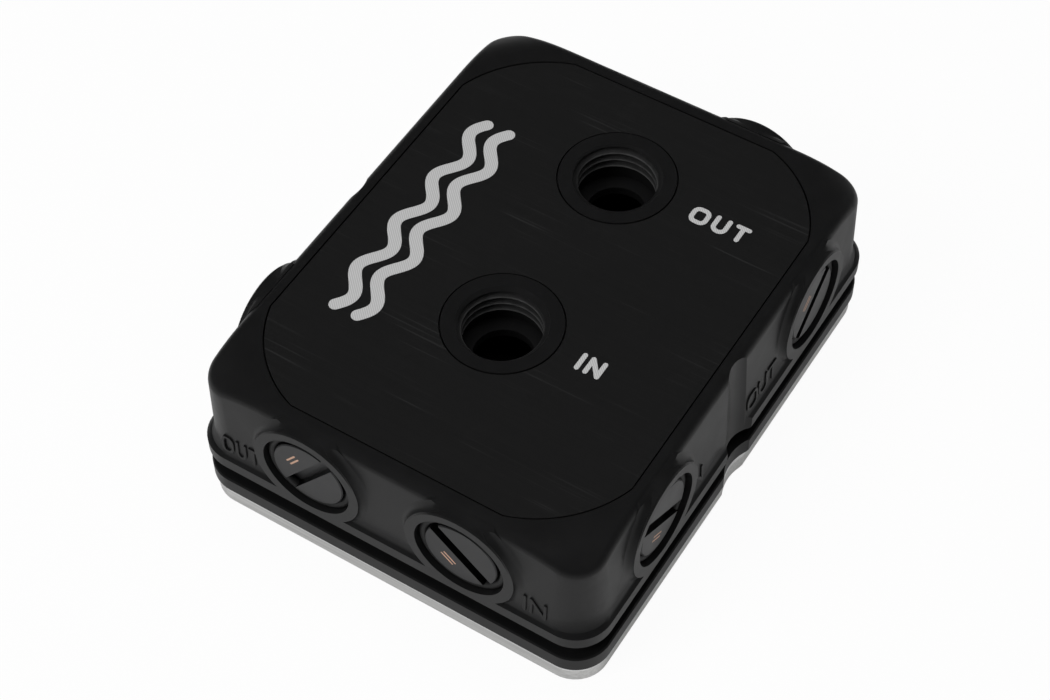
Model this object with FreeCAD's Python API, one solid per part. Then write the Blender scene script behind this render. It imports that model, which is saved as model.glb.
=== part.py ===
import FreeCAD, Part

import math
import os

# Liquid cooling cold plate: a nickel-plated copper base with skived fins, screwed under a moulded
# housing that has two threaded ports on top and six plugged ports round its sides.
# Millimetres, +Z up. The origin is the centre of the contact face. X runs across, Y along the body.

Vector = FreeCAD.Vector
UP = Vector(0, 0, 1)
OUT_X = Vector(1, 0, 0)

# ---- Driving dimensions -------------------------------------------------------------------------

# Outline of the moulded body
BODY_X = 64.7              # across the flange
BODY_Y = 81.3              # along the flange
BODY_CORNER = 5.5          # flange corner radius, seen from above
HEIGHT = 26.65             # contact face to top
EDGE_BREAK = 0.2           # small chamfer on outer edges

# Levels, upwards
BASE_THICK = 3.25
LIP_THICK = 2.85
NECK_HEIGHT = 3.2          # open groove round the body, for a mounting bracket
FLANGE_THICK = 2.6

# Body section
LIP_INSET = 0.1
NECK_INSET = 2.5
FOOT_INSET = 0.7           # wall foot, in from the flange edge
FOOT_BLEND = 2.1           # height of the hollow blend at the wall foot
FOOT_BANDS = 4
FLANGE_BREAK = 0.4         # chamfer on the flange's upper edge
WALL_DRAFT = 2.9           # degrees
WALL_CORNER_FOOT = 6.2     # upright corner radius of the wall at its foot
WALL_CORNER_TOP = 4.6      # and at the top
TOP_ROUND = 1.4            # rounding of the top edge

# Dished corners of the top
DISH_START = 20.2          # radius at which the top starts to fall
DISH_CURVE = 11.2          # radius of the fall's section
DISH_REACH = 0.99          # share of that radius that the fall runs out
DISH_MARGIN = 0.1          # the circle passes this far outside the straight edges of the top

# Base plate
BASE_INSET = 0.5           # base plate edge, in from the flange edge
BASE_CORNER = 5.0
FIN_COUNT = 21
FIN_THICK = 0.6
FIN_PITCH = 1.4
FIN_LENGTH = 30.0
FIN_HEIGHT = 3.75

# Side notches, one in the middle of each long side
NOTCH_UPPER_RADIUS = 4.8
NOTCH_UPPER_DEPTH = 1.5    # into the flange
NOTCH_LEAN = 2.2           # degrees, nearly as the wall leans
NOTCH_LOWER_RADIUS = 7.2
NOTCH_LOWER_DEPTH = 1.05   # into the lip

# Coolant path inside the housing
POCKET_Y = 44.0            # length of the pocket over the fins
POCKET_CORNER = 3.0
WEB_THICK = 1.0            # web between pocket and chambers
CHAMBER_WALL = 8.9         # flange edge to the chambers
CHAMBER_ROOF = 4.15        # top to chamber ceiling
DIVIDER = 2.5              # wall between the two chambers
CHAMBER_CORNER = 2.0
WINDOW_X = 15.0            # half width of the windows in the web
WINDOW_NEAR = 11.0
WINDOW_FAR = 19.0

# Ports (G1/4: 13.157 mm major diameter)
THREAD_RADIUS = 6.58
PORT_DEPTH = 7.25
PORT_HOLE_RADIUS = 4.4
PORT_BOSS_RADIUS = 8.55
PORT_BOSS_DROP = 8.65      # top to the boss's end inside the chamber
PORT_IN_EDGE = 30.45       # front flange edge to the inlet port
PORT_OUT_EDGE = 20.05      # back flange edge to the outlet port

# Plugged side ports
BOSS_RADIUS = 8.45
BOSS_BELOW_TOP = 0.15      # highest point of a boss, under the top
BOSS_BLEND = 1.15          # radius of the hollow blend round a boss
BOSS_BLEND_BANDS = 3
BOSS_BLEND_DROP = 1.7      # the blend passes this far under the top at the boss's face
BOSS_EDGE = 0.2
SIDE_DEPTH = 7.5
SIDE_HOLE_RADIUS = 4.5
COUNTERBORE_RADIUS = 6.95
COUNTERBORE_DEPTH = 2.1
FRONT_BOSS_X = 12.2
BACK_BOSS_X = 12.3
RIGHT_BOSS_Y = 21.2
LEFT_BOSS_Y = 21.0

# Plugs
PLUG_RECESS = 0.48         # face below the boss
PLUG_NECK_RADIUS = 5.63
PLUG_CLEARANCE = 0.05
PLUG_CHAMFER = 0.15
SLOT_WIDTH = 1.9
SLOT_DEPTH = 1.35

# Inlaid top panel
PANEL_THICK = 0.95
PANEL_SINK = 0.05          # the panel lies this far under the rim
PANEL_GAP = 0.22           # line between panel and housing
PANEL_X = 28.6             # half sizes of the panel
PANEL_Y = 36.45
PANEL_SIDE = 24.3          # straight length of the long sides, each way from the middle
PANEL_END = 16.6           # straight length of the short sides, each way from the middle
PANEL_ARC = 18.65          # radius of the panel's corner arcs
FILM_THICK = 0.15          # adhesive film under the panel
FILM_INSET = 0.8

# Flow plate over the fins
FLOW_THICK = 1.0
FLOW_CLEARANCE = 0.2

# Main seal
SEAL_GROOVE_WIDTH = 2.2
SEAL_TO_INSERT = 0.5       # wall between the seal's groove and the screw inserts
SEAL_TO_POCKET = 0.2       # wall between the seal's groove and the pocket
SEAL_GROOVE_DEPTH = 1.4
SEAL_CLEARANCE = 0.1
SEAL_EDGE = 0.4            # corners of a squeezed seal

# Base screws (M3 countersunk) and brass inserts
SCREW_EDGE_X = 5.35        # screw axes, in from the flange edge
SCREW_EDGE_Y = 5.65
SCREW_RADIUS = 1.5
SCREW_HOLE_RADIUS = 1.7
SCREW_HEAD_RADIUS = 2.9
SCREW_RECESS = 0.2
SCREW_LENGTH = 7.0
SOCKET_ACROSS = 2.0
SOCKET_DEPTH = 1.2
INSERT_RADIUS = 2.1
INSERT_LENGTH = 4.5

# ---- Levels and places worked out from them -----------------------------------------------------

LIP_TOP = BASE_THICK + LIP_THICK
NECK_TOP = LIP_TOP + NECK_HEIGHT
FLANGE_TOP = NECK_TOP + FLANGE_THICK
HALF_X = BODY_X / 2
HALF_Y = BODY_Y / 2
PORT_IN_Y = PORT_IN_EDGE - HALF_Y
PORT_OUT_Y = HALF_Y - PORT_OUT_EDGE
CHAMBER_X = HALF_X - CHAMBER_WALL
CHAMBER_Y = HALF_Y - CHAMBER_WALL
SCREW_X = HALF_X - SCREW_EDGE_X
SCREW_Y = HALF_Y - SCREW_EDGE_Y
SEAL_MIDDLE_X = SCREW_X - INSERT_RADIUS - SEAL_TO_INSERT - SEAL_GROOVE_WIDTH / 2
POCKET_HALF_X = SEAL_MIDDLE_X - SEAL_GROOVE_WIDTH / 2 - SEAL_TO_POCKET
POCKET_HALF_Y = POCKET_Y / 2
SEAL_MIDDLE_Y = POCKET_HALF_Y + SEAL_TO_POCKET + SEAL_GROOVE_WIDTH / 2
BOSS_Z = HEIGHT - BOSS_BELOW_TOP - BOSS_RADIUS
DRAFT_RATE = math.tan(math.radians(WALL_DRAFT))
PANEL_TOP = HEIGHT - PANEL_SINK
RECESS_FLOOR = PANEL_TOP - PANEL_THICK - FILM_THICK
FIN_TOP = BASE_THICK + FIN_HEIGHT
WEB_BOTTOM = FIN_TOP + FLOW_THICK
WEB_TOP = WEB_BOTTOM + WEB_THICK
CHAMBER_TOP = HEIGHT - CHAMBER_ROOF
HALF_FINS = (FIN_COUNT - 1) / 2 * FIN_PITCH + FIN_THICK / 2
PORTS = ((0, PORT_IN_Y), (0, PORT_OUT_Y))
SCREW_PLACES = [(x, y) for x in (-SCREW_X, 0, SCREW_X) for y in (-SCREW_Y, 0, SCREW_Y) if x or y]

# Plugged ports: name, turn of the side about Z from the +X side, distance of the side from the
# middle, place along the side (to the right, seen from outside), angle of the plug's slot.
SIDE_PORTS = (
    ("front_out", -90, HALF_Y, -FRONT_BOSS_X, 53),
    ("front_in", -90, HALF_Y, FRONT_BOSS_X, -43),
    ("right_in", 0, HALF_X, -RIGHT_BOSS_Y, -31),
    ("right_out", 0, HALF_X, RIGHT_BOSS_Y, 44),
    ("left_out", 180, HALF_X, LEFT_BOSS_Y, 18),
    ("back_out", 90, HALF_Y, -BACK_BOSS_X, -62),
)


# ---- Shape helpers ------------------------------------------------------------------------------


def rounded_outline(half_x, half_y, radius, z):
    """Closed wire at height z: a rectangle of the given half sizes with round corners."""
    edges = []
    starts = []
    ends = []
    for quarter in range(4):
        sign_x = 1 if quarter in (0, 3) else -1
        sign_y = 1 if quarter < 2 else -1
        centre = Vector(sign_x * (half_x - radius), sign_y * (half_y - radius), z)
        points = []
        for step in (0, 45, 90):
            angle = math.radians(90 * quarter + step)
            points.append(centre + Vector(math.cos(angle), math.sin(angle), 0) * radius)
        edges.append(Part.Arc(*points).toShape())
        starts.append(points[0])
        ends.append(points[2])
    sides = [Part.LineSegment(ends[i], starts[(i + 1) % 4]).toShape() for i in range(4)]
    ring = [edge for pair in zip(edges, sides) for edge in pair]
    return Part.Wire(ring)


def stack(sections):
    """Solid through rounded outlines given as (half_x, half_y, radius, z), with straight sides between."""
    return Part.makeLoft([rounded_outline(*section) for section in sections], True, True)


def slab(half_x, half_y, radius, bottom, top, bottom_break, top_break):
    """Plate with round corners and a chamfer on its lower and upper edge, each 0 for none."""
    sections = []
    if bottom_break:
        sections.append((half_x - bottom_break, half_y - bottom_break, radius - bottom_break, bottom))
    sections.append((half_x, half_y, radius, bottom + bottom_break))
    sections.append((half_x, half_y, radius, top - top_break))
    if top_break:
        sections.append((half_x - top_break, half_y - top_break, radius - top_break, top))
    return stack(sections)


def block(x0, x1, y0, y1, z0, z1):
    """Box between two corners."""
    return Part.makeBox(x1 - x0, y1 - y0, z1 - z0, Vector(x0, y0, z0))


def post(x, y, radius, bottom, top):
    """Upright cylinder."""
    return Part.makeCylinder(radius, top - bottom, Vector(x, y, bottom), UP)


def rod(x_start, x_end, y, z, radius):
    """Cylinder along X."""
    return Part.makeCylinder(radius, x_end - x_start, Vector(x_start, y, z), OUT_X)


def prism(points, bottom, top, corner):
    """Upright prism on a polygon, its upright edges rounded."""
    corners = [Vector(x, y, bottom) for x, y in points]
    solid = Part.Face(Part.makePolygon(corners + corners[:1])).extrude(UP * (top - bottom))
    upright = [edge for edge in solid.Edges if abs(edge.BoundBox.ZLength - (top - bottom)) < 1e-6]
    return solid.makeFillet(corner, upright)


def turned(profile, axis_point, axis, angle=360):
    """Solid swept by a closed wire turned about an axis."""
    return Part.Face(Part.Wire(profile)).revolve(axis_point, axis, angle)


def lines(points):
    """Straight edges through a list of points."""
    return [Part.LineSegment(a, b).toShape() for a, b in zip(points, points[1:])]


def onto_side(shape, turn):
    """Shape made for the +X side, turned about Z onto another side."""
    placed = shape.copy()
    placed.rotate(Vector(0, 0, 0), UP, turn)
    return placed


def wall_inset(z):
    """Distance from the flange edge to the drafted wall at height z."""
    return FOOT_INSET + (z - FLANGE_TOP) * DRAFT_RATE


def wall_corner(z):
    """Upright corner radius of the wall at height z."""
    share = (z - FLANGE_TOP) / (HEIGHT - FLANGE_TOP)
    return WALL_CORNER_FOOT + share * (WALL_CORNER_TOP - WALL_CORNER_FOOT)


def wall_section(z):
    """Outline of the drafted wall at height z."""
    inset = wall_inset(z)
    return (HALF_X - inset, HALF_Y - inset, wall_corner(z), z)


# ---- Housing ------------------------------------------------------------------------------------


def foot_blend():
    """Hollow blend from the flange's chamfer to the wall: a quarter ellipse in bands round the body."""
    width = wall_inset(FLANGE_TOP + FOOT_BLEND)
    corner_change = wall_corner(FLANGE_TOP + FOOT_BLEND) - BODY_CORNER + FLANGE_BREAK
    sections = []
    for band in range(FOOT_BANDS + 1):
        angle = math.radians(90 - 90 * band / FOOT_BANDS)
        inset = FLANGE_BREAK + (width - FLANGE_BREAK) * math.cos(angle)
        corner = BODY_CORNER - FLANGE_BREAK + corner_change * math.cos(angle)
        z = FLANGE_TOP + FOOT_BLEND * (1 - math.sin(angle))
        sections.append((HALF_X - inset, HALF_Y - inset, corner, z))
    return stack(sections)


def dish_cutter():
    """What is cut from one corner of the top: it falls along an arc outside DISH_START."""
    reach = DISH_START + DISH_CURVE * DISH_REACH
    fall = DISH_CURVE - math.sqrt(DISH_CURVE ** 2 - (reach - DISH_START) ** 2)
    half = (reach - DISH_START) / 2
    half_fall = DISH_CURVE - math.sqrt(DISH_CURVE ** 2 - half ** 2)
    clear = HEIGHT + TOP_ROUND
    start = Vector(DISH_START, 0, HEIGHT)
    middle = Vector(DISH_START + half, 0, HEIGHT - half_fall)
    end = Vector(reach, 0, HEIGHT - fall)
    profile = [Part.Arc(start, middle, end).toShape()]
    profile += lines([end, Vector(reach, 0, clear), Vector(DISH_START, 0, clear), start])
    cutter = turned(profile, Vector(0, 0, 0), UP, 90)
    half_x, half_y, _, _ = wall_section(HEIGHT)
    centre = DISH_START - DISH_MARGIN
    cutter.translate(Vector(half_x - centre, half_y - centre, 0))
    return cutter


def upper_body():
    """Drafted wall with dished corners and a rounded top edge."""
    body = stack([wall_section(FLANGE_TOP), wall_section(HEIGHT)])
    corner = dish_cutter()
    for cutter in (corner, corner.mirror(Vector(0, 0, 0), OUT_X)):
        body = body.cut([cutter, cutter.mirror(Vector(0, 0, 0), Vector(0, 1, 0))])
    rim = []
    for edge in body.Edges:
        starts_high = edge.BoundBox.ZMin > HEIGHT - DISH_CURVE
        if starts_high and not isinstance(edge.Curve, Part.Circle):
            rim.append(edge)
    return body.makeFillet(TOP_ROUND, rim)


def side_boss(side, place):
    """Round boss of a plugged port on the +X side, its face level with the flange edge."""
    inside = side - SIDE_DEPTH
    profile = lines([Vector(side - BOSS_EDGE, place, BOSS_Z + BOSS_RADIUS),
                     Vector(inside, place, BOSS_Z + BOSS_RADIUS),
                     Vector(inside, place, BOSS_Z),
                     Vector(side, place, BOSS_Z),
                     Vector(side, place, BOSS_Z + BOSS_RADIUS - BOSS_EDGE),
                     Vector(side - BOSS_EDGE, place, BOSS_Z + BOSS_RADIUS)])
    boss = turned(profile, Vector(side, place, BOSS_Z), OUT_X)
    return boss.fuse(boss_blend(side, place))


def boss_blend(side, place):
    """Hollow blend round a side boss, square to the drafted wall and kept under the rounded top."""
    root = BOSS_BLEND / 2
    wall = side - wall_inset(BOSS_Z)
    outer = BOSS_Z + BOSS_RADIUS + BOSS_BLEND
    inner = BOSS_Z + BOSS_RADIUS - root
    points = []
    for band in range(BOSS_BLEND_BANDS + 1):
        angle = math.radians(90 * band / BOSS_BLEND_BANDS)
        points.append(Vector(wall + BOSS_BLEND * (1 - math.cos(angle)), place,
                             outer - BOSS_BLEND * math.sin(angle)))
    points += [Vector(wall + BOSS_BLEND, place, inner), Vector(wall - root, place, inner),
               Vector(wall - root, place, outer), points[0]]
    ring = turned(lines(points), Vector(wall, place, BOSS_Z), OUT_X)
    ring.rotate(Vector(wall, place, BOSS_Z), Vector(0, 1, 0), -WALL_DRAFT)
    return ring.common(blend_limit(side, place))


def blend_limit(side, place):
    """Space that a boss blend may fill: behind the boss's face and under a curve over the top edge."""
    start = side - wall_inset(HEIGHT) - TOP_ROUND
    run = side - start
    drop = BOSS_BLEND_DROP
    radius = (run ** 2 + drop ** 2) / (2 * drop)
    half_angle = math.asin(run / radius) / 2
    reach = BOSS_RADIUS + 2 * BOSS_BLEND
    low = Vector(side, place - reach, HEIGHT - drop)
    high = Vector(start, place - reach, HEIGHT)
    middle = Vector(start + radius * math.sin(half_angle), place - reach,
                    HEIGHT - radius * (1 - math.cos(half_angle)))
    arc = Part.Arc(high, middle, low).toShape()
    rest = lines([low, Vector(side, place - reach, NECK_TOP),
                  Vector(start, place - reach, NECK_TOP), high])
    return Part.Face(Part.Wire([arc] + rest)).extrude(Vector(0, 2 * reach, 0))


def notch_cutter(side_sign):
    """Finger notch in the middle of a long side: a leaning channel above, a wider upright one below."""
    axis_x = HALF_X - NOTCH_UPPER_DEPTH + NOTCH_UPPER_RADIUS
    overrun = TOP_ROUND
    length = HEIGHT - LIP_TOP + 2 * overrun
    upper = Part.makeCylinder(NOTCH_UPPER_RADIUS, length, Vector(axis_x, 0, LIP_TOP + overrun), UP)
    upper.rotate(Vector(axis_x, 0, NECK_TOP), Vector(0, 1, 0), -NOTCH_LEAN)
    cutter = upper.fuse(lower_notch())
    cutter.rotate(Vector(0, 0, 0), UP, 0 if side_sign > 0 else 180)
    return cutter


def lower_notch():
    """Upright channel cut into the lip and the base plate on the +X side."""
    axis_x = HALF_X - LIP_INSET - NOTCH_LOWER_DEPTH + NOTCH_LOWER_RADIUS
    return post(axis_x, 0, NOTCH_LOWER_RADIUS, -BASE_THICK, LIP_TOP + NECK_HEIGHT / 2)


def panel_outline(grow, z):
    """Outline of the top panel, grown by a margin: flat sides joined by large corner arcs."""
    half_x = PANEL_X + grow
    half_y = PANEL_Y + grow
    edges = []
    first = None
    last = None
    for sign_x, sign_y in ((1, 1), (-1, 1), (-1, -1), (1, -1)):
        on_side = Vector(sign_x * half_x, sign_y * PANEL_SIDE, z)
        on_end = Vector(sign_x * PANEL_END, sign_y * half_y, z)
        start, end = (on_side, on_end) if sign_x == sign_y else (on_end, on_side)
        chord_middle = (start + end) / 2
        outward = Vector(sign_x * abs(end.y - start.y), sign_y * abs(end.x - start.x), 0)
        outward.normalize()
        half_chord = (end - start).Length / 2
        rise = PANEL_ARC - math.sqrt(PANEL_ARC ** 2 - half_chord ** 2)
        if last is not None:
            edges.append(Part.LineSegment(last, start).toShape())
        edges.append(Part.Arc(start, chord_middle + outward * rise, end).toShape())
        first = first or start
        last = end
    edges.append(Part.LineSegment(last, first).toShape())
    return Part.Wire(edges)


def panel_sheet(grow, hole_radius, bottom, top):
    """Sheet of the panel's outline with a round hole at each top port."""
    sheet = Part.Face(panel_outline(grow, bottom)).extrude(UP * (top - bottom))
    for x, y in PORTS:
        sheet = sheet.cut(post(x, y, hole_radius, bottom - PANEL_THICK, top + PANEL_THICK))
    return sheet


def divider_places():
    """Left side, front and back of the wall round the inlet chamber, where the outlet wraps round it."""
    left = -THREAD_RADIUS - WEB_THICK
    front = PORT_IN_Y - PORT_BOSS_RADIUS - DIVIDER / 2
    back = (PORT_IN_Y + PORT_OUT_Y) / 2
    return left, front, back


def chamber_in():
    """Inlet chamber, from the front right corner to the inlet end of the fins."""
    left, front, back = divider_places()
    half = DIVIDER / 2
    points = ((half, -CHAMBER_Y), (CHAMBER_X, -CHAMBER_Y), (CHAMBER_X, back - half), (left, back - half),
              (left, front), (half, front - DIVIDER))
    return prism(points, WEB_TOP, CHAMBER_TOP, CHAMBER_CORNER)


def chamber_out():
    """Outlet chamber, across the back and down the left side."""
    left, front, back = divider_places()
    half = DIVIDER / 2
    points = ((-CHAMBER_X, -CHAMBER_Y), (-half, -CHAMBER_Y), (-half, front - 2 * DIVIDER),
              (left - DIVIDER, front - DIVIDER), (left - DIVIDER, back + half), (CHAMBER_X, back + half),
              (CHAMBER_X, CHAMBER_Y), (-CHAMBER_X, CHAMBER_Y))
    return prism(points, WEB_TOP, CHAMBER_TOP, CHAMBER_CORNER)


def side_bore(side, place):
    """Counterbore, threaded bore and through hole of a plugged port on the +X side."""
    bore = rod(side - COUNTERBORE_DEPTH, side + SIDE_DEPTH, place, BOSS_Z, COUNTERBORE_RADIUS)
    bore = bore.fuse(rod(side - SIDE_DEPTH, side, place, BOSS_Z, THREAD_RADIUS))
    return bore.fuse(rod(side - SIDE_DEPTH - CHAMBER_ROOF, side, place, BOSS_Z, SIDE_HOLE_RADIUS))


def seal_ring(half_width, bottom, top):
    """Square ring with round corners on the main seal's centre line."""
    outer = slab(SEAL_MIDDLE_X + half_width, SEAL_MIDDLE_Y + half_width, POCKET_CORNER + 2 * half_width,
                 bottom, top, 0, 0)
    inner = slab(SEAL_MIDDLE_X - half_width, SEAL_MIDDLE_Y - half_width, POCKET_CORNER, bottom, top, 0, 0)
    return outer.cut(inner)


def housing():
    """Moulded housing: lip, bracket groove, flange, drafted body, port bosses and coolant chambers."""
    neck_half_x = HALF_X - NECK_INSET
    neck_half_y = HALF_Y - NECK_INSET
    lip = slab(HALF_X - LIP_INSET, HALF_Y - LIP_INSET, BODY_CORNER - LIP_INSET,
               BASE_THICK, LIP_TOP, EDGE_BREAK, EDGE_BREAK)
    neck = slab(neck_half_x, neck_half_y, BODY_CORNER - NECK_INSET, LIP_TOP - EDGE_BREAK,
                NECK_TOP + EDGE_BREAK, 0, 0)
    flange = slab(HALF_X, HALF_Y, BODY_CORNER, NECK_TOP, FLANGE_TOP, EDGE_BREAK, FLANGE_BREAK)
    solids = [neck, flange, foot_blend(), upper_body()]
    for _, turn, side, place, _ in SIDE_PORTS:
        solids.append(onto_side(side_boss(side, place), turn))
    body = lip.fuse(solids).removeSplitter()

    cuts = [notch_cutter(1), notch_cutter(-1)]
    cuts.append(slab(POCKET_HALF_X, POCKET_HALF_Y, POCKET_CORNER, 0, WEB_BOTTOM, 0, 0))
    cuts.append(seal_ring(SEAL_GROOVE_WIDTH / 2, 0, BASE_THICK + SEAL_GROOVE_DEPTH))
    for chamber in (chamber_in(), chamber_out()):
        for x, y in PORTS:
            chamber = chamber.cut(post(x, y, PORT_BOSS_RADIUS, HEIGHT - PORT_BOSS_DROP, HEIGHT))
        cuts.append(chamber)
    cuts.append(block(-THREAD_RADIUS, WINDOW_X, -WINDOW_FAR, -WINDOW_NEAR, WEB_BOTTOM, WEB_TOP))
    cuts.append(block(-WINDOW_X, WINDOW_X, WINDOW_NEAR, WINDOW_FAR, WEB_BOTTOM, WEB_TOP))
    for _, turn, side, place, _ in SIDE_PORTS:
        cuts.append(onto_side(side_bore(side, place), turn))
    for x, y in SCREW_PLACES:
        cuts.append(post(x, y, INSERT_RADIUS, 0, BASE_THICK + INSERT_LENGTH))
    body = body.cut(cuts)

    recess = panel_sheet(PANEL_GAP, PORT_BOSS_RADIUS, RECESS_FLOOR, HEIGHT + PANEL_THICK)
    body = body.cut(recess)
    for x, y in PORTS:
        body = body.cut(post(x, y, THREAD_RADIUS, HEIGHT - PORT_DEPTH, HEIGHT + PANEL_THICK))
        body = body.cut(post(x, y, PORT_HOLE_RADIUS, HEIGHT - PORT_BOSS_DROP, HEIGHT))
    return body.removeSplitter()


# ---- Base plate, flow plate and seal ------------------------------------------------------------


def base_plate():
    """Nickel-plated copper plate with skived fins on top and countersunk screw holes from below."""
    plate = slab(HALF_X - BASE_INSET, HALF_Y - BASE_INSET, BASE_CORNER, 0, BASE_THICK,
                 EDGE_BREAK, EDGE_BREAK)
    notch = lower_notch()
    plate = plate.cut([notch, onto_side(notch, 180)])
    for x, y in SCREW_PLACES:
        plate = plate.cut(post(x, y, SCREW_HOLE_RADIUS, 0, BASE_THICK))
        plate = plate.cut(screw_cone(x, y))
        plate = plate.cut(post(x, y, SCREW_HEAD_RADIUS, -SCREW_RECESS, SCREW_RECESS))
    fins = []
    for index in range(FIN_COUNT):
        x = (index - (FIN_COUNT - 1) / 2) * FIN_PITCH
        fins.append(block(x - FIN_THICK / 2, x + FIN_THICK / 2, -FIN_LENGTH / 2, FIN_LENGTH / 2,
                          BASE_THICK - FIN_THICK, FIN_TOP))
    return plate.fuse(fins).removeSplitter()


def screw_cone(x, y):
    """Ninety-degree cone of a countersunk head, from its rim down to the shank."""
    height = SCREW_HEAD_RADIUS - SCREW_RADIUS
    return Part.makeCone(SCREW_HEAD_RADIUS, SCREW_RADIUS, height, Vector(x, y, SCREW_RECESS), UP)


def flow_plate():
    """Sheet that closes the fin channels between the inlet and outlet windows."""
    plate = slab(POCKET_HALF_X - FLOW_CLEARANCE, POCKET_HALF_Y - FLOW_CLEARANCE,
                 POCKET_CORNER - FLOW_CLEARANCE, FIN_TOP, WEB_BOTTOM, 0, 0)
    inlet = block(-THREAD_RADIUS, WINDOW_X, -WINDOW_FAR, -WINDOW_NEAR, FIN_TOP, WEB_BOTTOM)
    outlet = block(-WINDOW_X, WINDOW_X, WINDOW_NEAR, WINDOW_FAR, FIN_TOP, WEB_BOTTOM)
    return plate.cut([inlet, outlet])


def main_seal():
    """Rubber cord squeezed between the base plate and the groove round the pocket."""
    ring = seal_ring(SEAL_GROOVE_WIDTH / 2 - SEAL_CLEARANCE, BASE_THICK, BASE_THICK + SEAL_GROOVE_DEPTH)
    rims = [edge for edge in ring.Edges if edge.BoundBox.ZLength < SEAL_EDGE]
    return ring.makeChamfer(SEAL_EDGE, rims)


# ---- Screws and inserts -------------------------------------------------------------------------


def base_screw(x, y):
    """Countersunk screw from below, with a hexagon socket."""
    top = SCREW_RECESS + SCREW_LENGTH
    screw = screw_cone(x, y).fuse(post(x, y, SCREW_RADIUS, SCREW_RECESS, top))
    corner = SOCKET_ACROSS / math.sqrt(3)
    points = []
    for step in range(7):
        angle = math.radians(60 * step)
        points.append(Vector(x + corner * math.cos(angle), y + corner * math.sin(angle), 0))
    socket = Part.Face(Part.makePolygon(points)).extrude(UP * (SCREW_RECESS + SOCKET_DEPTH))
    return screw.cut(socket).removeSplitter()


def screw_insert(x, y):
    """Brass bush heat-set into the housing for a base screw."""
    top = BASE_THICK + INSERT_LENGTH
    bush = post(x, y, INSERT_RADIUS, BASE_THICK, top)
    return bush.cut(post(x, y, SCREW_RADIUS, 0, top + INSERT_LENGTH))


# ---- Plugs --------------------------------------------------------------------------------------


def plug(side, place, slot_angle):
    """Slotted stop plug of a side port: threaded body, neck for the seal and slotted face."""
    face = side - PLUG_RECESS
    body = rod(side - SIDE_DEPTH, side - COUNTERBORE_DEPTH, place, BOSS_Z, THREAD_RADIUS - PLUG_CLEARANCE)
    neck = rod(side - COUNTERBORE_DEPTH, face - PLUG_CHAMFER, place, BOSS_Z, PLUG_NECK_RADIUS)
    rim = Part.makeCone(PLUG_NECK_RADIUS, PLUG_NECK_RADIUS - PLUG_CHAMFER, PLUG_CHAMFER,
                        Vector(face - PLUG_CHAMFER, place, BOSS_Z), OUT_X)
    slot = block(face - SLOT_DEPTH, side, -THREAD_RADIUS, THREAD_RADIUS, -SLOT_WIDTH / 2, SLOT_WIDTH / 2)
    slot.translate(Vector(0, place, BOSS_Z))
    slot.rotate(Vector(side, place, BOSS_Z), OUT_X, slot_angle)
    return body.fuse([neck, rim]).cut(slot).removeSplitter()


def plug_seal(side, place):
    """Rubber ring squeezed between a plug's neck and the counterbore, on the shoulder of the plug."""
    back = side - COUNTERBORE_DEPTH
    front = back + COUNTERBORE_RADIUS - PLUG_NECK_RADIUS
    inner = BOSS_Z + PLUG_NECK_RADIUS
    outer = BOSS_Z + COUNTERBORE_RADIUS
    section = [(back, inner), (front - SEAL_EDGE, inner), (front, inner + SEAL_EDGE),
               (front, outer - SEAL_EDGE), (front - SEAL_EDGE, outer), (back, outer), (back, inner)]
    profile = lines([Vector(x, place, z) for x, z in section])
    return turned(profile, Vector(side, place, BOSS_Z), OUT_X)


# ---- Assembly -----------------------------------------------------------------------------------


def build():
    """Every piece by name; like fasteners share one name as separate solids."""
    pieces = {
        "base_plate": base_plate(),
        "housing": housing(),
        "flow_plate": flow_plate(),
        "main_seal": main_seal(),
        "panel_adhesive": panel_sheet(-FILM_INSET, PORT_BOSS_RADIUS + FILM_INSET, RECESS_FLOOR,
                                      RECESS_FLOOR + FILM_THICK),
        "top_panel": panel_sheet(0, PORT_BOSS_RADIUS + PANEL_GAP, PANEL_TOP - PANEL_THICK, PANEL_TOP),
        "base_screws": Part.makeCompound([base_screw(x, y) for x, y in SCREW_PLACES]),
        "screw_inserts": Part.makeCompound([screw_insert(x, y) for x, y in SCREW_PLACES]),
    }
    for name, turn, side, place, slot_angle in SIDE_PORTS:
        pieces["plug_" + name] = onto_side(plug(side, place, slot_angle), turn)
        pieces["plug_seal_" + name] = onto_side(plug_seal(side, place), turn)
    return pieces


os.makedirs("parts", exist_ok=True)
for node, shape in build().items():
    shape.exportStep("parts/" + node + ".step")
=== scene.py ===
import math

import bpy
import bmesh
import numpy as np
from bpy.props import FloatProperty, FloatVectorProperty, PointerProperty
from mathutils import Matrix, Vector


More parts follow.
